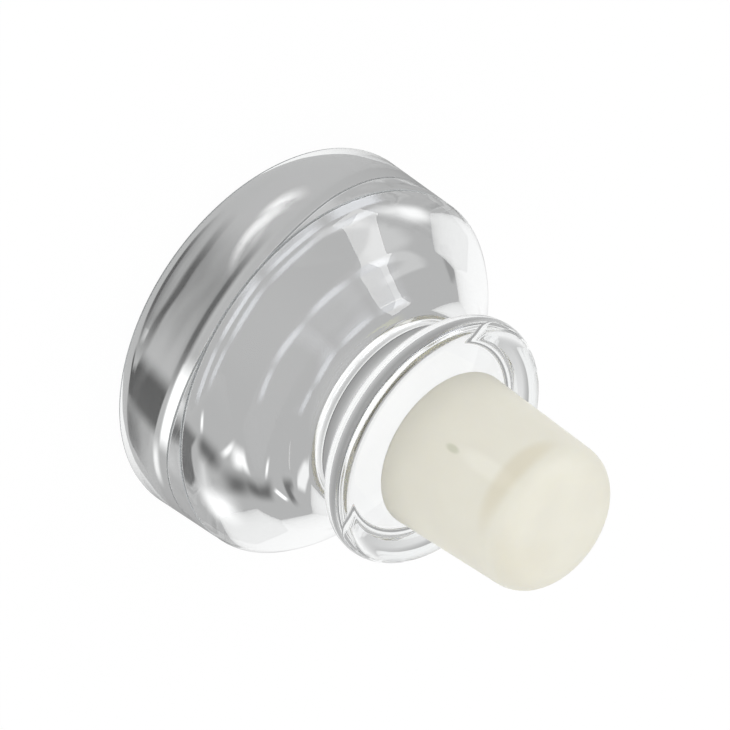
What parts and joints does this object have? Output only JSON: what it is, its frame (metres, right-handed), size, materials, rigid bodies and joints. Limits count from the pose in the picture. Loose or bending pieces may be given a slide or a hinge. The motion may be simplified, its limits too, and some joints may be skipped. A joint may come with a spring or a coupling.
{
  "type": "glass stopper",
  "caption": "Clear pressed-glass stopper head with a tapered soft polymer plug that seals a bottle or decanter neck.",
  "frame": {"origin": "centre of the head's flat top face, which the stopper stands on when it is turned over", "axes": "+Z along the axis of revolution, from the head's flat face towards the free end of the plug; X and Y are equivalent"},
  "size_m": [0.0474, 0.0474, 0.0494],
  "materials": {
    "glass": "clear, fire-polished",
    "polymer": "satin, as moulded"
  },
  "bodies": {
    "root": {"glass_head": "glass", "polymer_plug": "polymer"}
  },
  "joints": []
}
